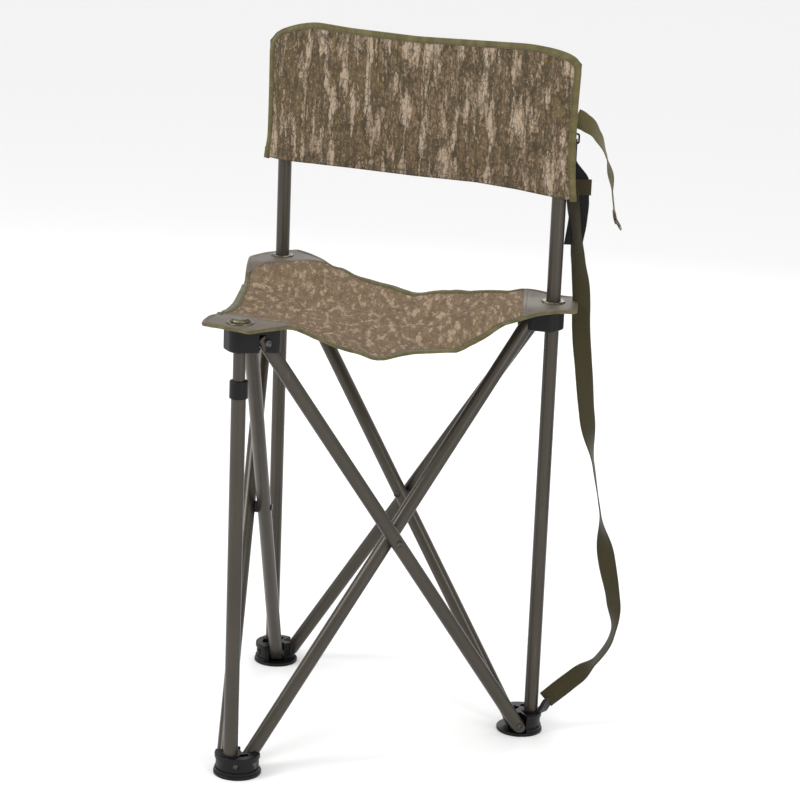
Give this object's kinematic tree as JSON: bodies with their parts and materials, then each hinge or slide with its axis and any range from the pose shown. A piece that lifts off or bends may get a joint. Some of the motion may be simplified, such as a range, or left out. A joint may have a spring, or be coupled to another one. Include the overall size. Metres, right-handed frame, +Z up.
{
  "type": "folding three-leg stool",
  "caption": "Folding tripod hunting stool: crossed tube struts, sling seat, slip-on fabric backrest and carry strap, standing on round plastic feet.",
  "frame": {"origin": "on the floor, under the middle of the stool's bounding box without its free straps", "axes": "+Z up; the sitter faces -Y, so the single front leg is at -Y and the two tall rear posts are at +Y; +X is the sitter's left"},
  "size_m": [0.5881, 0.4808, 0.938],
  "materials": {
    "tube_paint": "satin dark brown-grey powder coat",
    "black_plastic": "fine moulded grain",
    "fastener_steel": "dark zinc",
    "grommet_metal": "worn antique brass",
    "camo_fabric": null,
    "olive_tape": "woven binding tape",
    "olive_webbing": "woven webbing",
    "black_webbing": "woven webbing",
    "vinyl_patch": "coated fabric, fine grain",
    "black_wire": "black enamel",
    "bright_wire": "antique nickel"
  },
  "bodies": {
    "rear_right_leg": {"foot_rear_right": "black_plastic", "foot_rivets_rear_right": "fastener_steel", "leg_screw_rear_right": "fastener_steel", "rear_right_post": "tube_paint", "rear_right_post_cap": "black_plastic", "backrest_cover": "camo_fabric", "backrest_binding": "olive_tape", "carry_strap": "olive_webbing", "hook_strap": "olive_webbing", "hook_strap_wire_loop": "bright_wire", "d_ring_tab": "olive_webbing", "d_ring": "black_wire", "snap_hook": "black_plastic", "closing_webbing": "black_webbing", "strap_keeper": "olive_webbing", "foot_strap_loop": "black_webbing"},
    "snap_gate": {"snap_hook_gate": "black_plastic"},
    "front_right_outer_strut": {"strut_front_right_outer": "tube_paint", "mid_rivet_front_right": "fastener_steel", "mid_spacer_front_right": "black_plastic"},
    "front_right_inner_strut": {"strut_front_right_inner": "tube_paint"},
    "front_hub": {"hub_front": "black_plastic", "hub_rivets_front": "fastener_steel", "front_leg_upper_tube": "tube_paint", "seat_sling": "camo_fabric", "seat_binding": "olive_tape", "seat_patch_front": "vinyl_patch", "seat_button_front": "grommet_metal"},
    "front_foot": {"foot_front": "black_plastic", "foot_rivets_front": "fastener_steel", "leg_screw_front": "fastener_steel", "front_leg_lower_tube": "tube_paint", "front_leg_collar": "black_plastic"},
    "rear_right_hub": {"hub_rear_right": "black_plastic", "hub_rivets_rear_right": "fastener_steel", "seat_patch_rear_right": "vinyl_patch", "seat_grommet_rear_right": "grommet_metal"},
    "rear_inner_strut": {"strut_rear_inner": "tube_paint", "mid_rivet_rear": "fastener_steel", "mid_spacer_rear": "black_plastic"},
    "rear_outer_strut": {"strut_rear_outer": "tube_paint"},
    "rear_left_hub": {"hub_rear_left": "black_plastic", "hub_rivets_rear_left": "fastener_steel", "seat_patch_rear_left": "vinyl_patch", "seat_grommet_rear_left": "grommet_metal"},
    "rear_left_leg": {"foot_rear_left": "black_plastic", "foot_rivets_rear_left": "fastener_steel", "leg_screw_rear_left": "fastener_steel", "rear_left_post": "tube_paint", "rear_left_post_cap": "black_plastic"},
    "front_left_inner_strut": {"strut_front_left_inner": "tube_paint", "mid_rivet_front_left": "fastener_steel", "mid_spacer_front_left": "black_plastic"},
    "front_left_outer_strut": {"strut_front_left_outer": "tube_paint"}
  },
  "joints": [
    {"name": "fold", "type": "hinge", "parent": "rear_right_leg", "child": "front_right_outer_strut", "pos_m": [0.22057, 0.15598, 0.016], "axis": [-0.866, 0.5, 0], "range_deg": [0, 31], "deforming": ["seat_sling", "seat_binding", "seat_patch_front", "seat_patch_rear_right", "seat_patch_rear_left", "backrest_cover", "backrest_binding"]},
    {"name": "front_right_cross", "type": "hinge", "parent": "front_right_outer_strut", "child": "front_right_inner_strut", "pos_m": [0.11315, -0.00809, 0.2995], "axis": [0.866, -0.5, 0], "range_deg": [0, 62]},
    {"name": "front_hub_level", "type": "hinge", "parent": "front_right_outer_strut", "child": "front_hub", "pos_m": [0.02478, -0.18315, 0.583], "axis": [0.866, -0.5, 0], "range_deg": [0, 31]},
    {"name": "front_foot_level", "type": "hinge", "parent": "front_right_inner_strut", "child": "front_foot", "pos_m": [0.00572, -0.17215, 0.016], "axis": [-0.866, 0.5, 0], "range_deg": [0, 31]},
    {"name": "rear_right_hub_level", "type": "hinge", "parent": "front_right_inner_strut", "child": "rear_right_hub", "pos_m": [0.20152, 0.16698, 0.583], "axis": [-0.866, 0.5, 0], "range_deg": [0, 31]},
    {"name": "rear_strut_foot", "type": "hinge", "parent": "rear_right_leg", "child": "rear_inner_strut", "pos_m": [0.19579, 0.17689, 0.016], "axis": [0, 1, 0], "range_deg": [0, 31]},
    {"name": "rear_cross", "type": "hinge", "parent": "rear_inner_strut", "child": "rear_outer_strut", "pos_m": [0, 0.18789, 0.2995], "axis": [0, -1, 0], "range_deg": [0, 62]},
    {"name": "rear_left_hub_level", "type": "hinge", "parent": "rear_inner_strut", "child": "rear_left_hub", "pos_m": [-0.19579, 0.17689, 0.583], "axis": [0, -1, 0], "range_deg": [0, 31]},
    {"name": "rear_left_foot_level", "type": "hinge", "parent": "rear_outer_strut", "child": "rear_left_leg", "pos_m": [-0.19579, 0.19889, 0.016], "axis": [0, 1, 0], "range_deg": [0, 31]},
    {"name": "front_left_strut_foot", "type": "hinge", "parent": "rear_left_leg", "child": "front_left_inner_strut", "pos_m": [-0.20152, 0.16698, 0.016], "axis": [-0.866, -0.5, 0], "range_deg": [0, 31]},
    {"name": "front_left_cross", "type": "hinge", "parent": "front_left_inner_strut", "child": "front_left_outer_strut", "pos_m": [-0.11315, -0.00809, 0.2995], "axis": [0.866, 0.5, 0], "range_deg": [0, 62]},
    {"name": "snap_gate_open", "type": "hinge", "parent": "rear_right_leg", "child": "snap_gate", "pos_m": [0.22755, 0.21471, 0.8115], "axis": [0.866, 0.5, 0], "range_deg": [0, 18], "stiffness_Nm_per_rad": 0.002, "springref_deg": -11.46}
  ],
  "couplings": [
    {"joint": "front_right_cross", "follows": "fold", "ratio": 2},
    {"joint": "front_hub_level", "follows": "fold", "ratio": 1},
    {"joint": "front_foot_level", "follows": "fold", "ratio": 1},
    {"joint": "rear_right_hub_level", "follows": "fold", "ratio": 1},
    {"joint": "rear_strut_foot", "follows": "fold", "ratio": 1},
    {"joint": "rear_cross", "follows": "fold", "ratio": 2},
    {"joint": "rear_left_hub_level", "follows": "fold", "ratio": 1},
    {"joint": "rear_left_foot_level", "follows": "fold", "ratio": 1},
    {"joint": "front_left_strut_foot", "follows": "fold", "ratio": 1},
    {"joint": "front_left_cross", "follows": "fold", "ratio": 2}
  ]
}
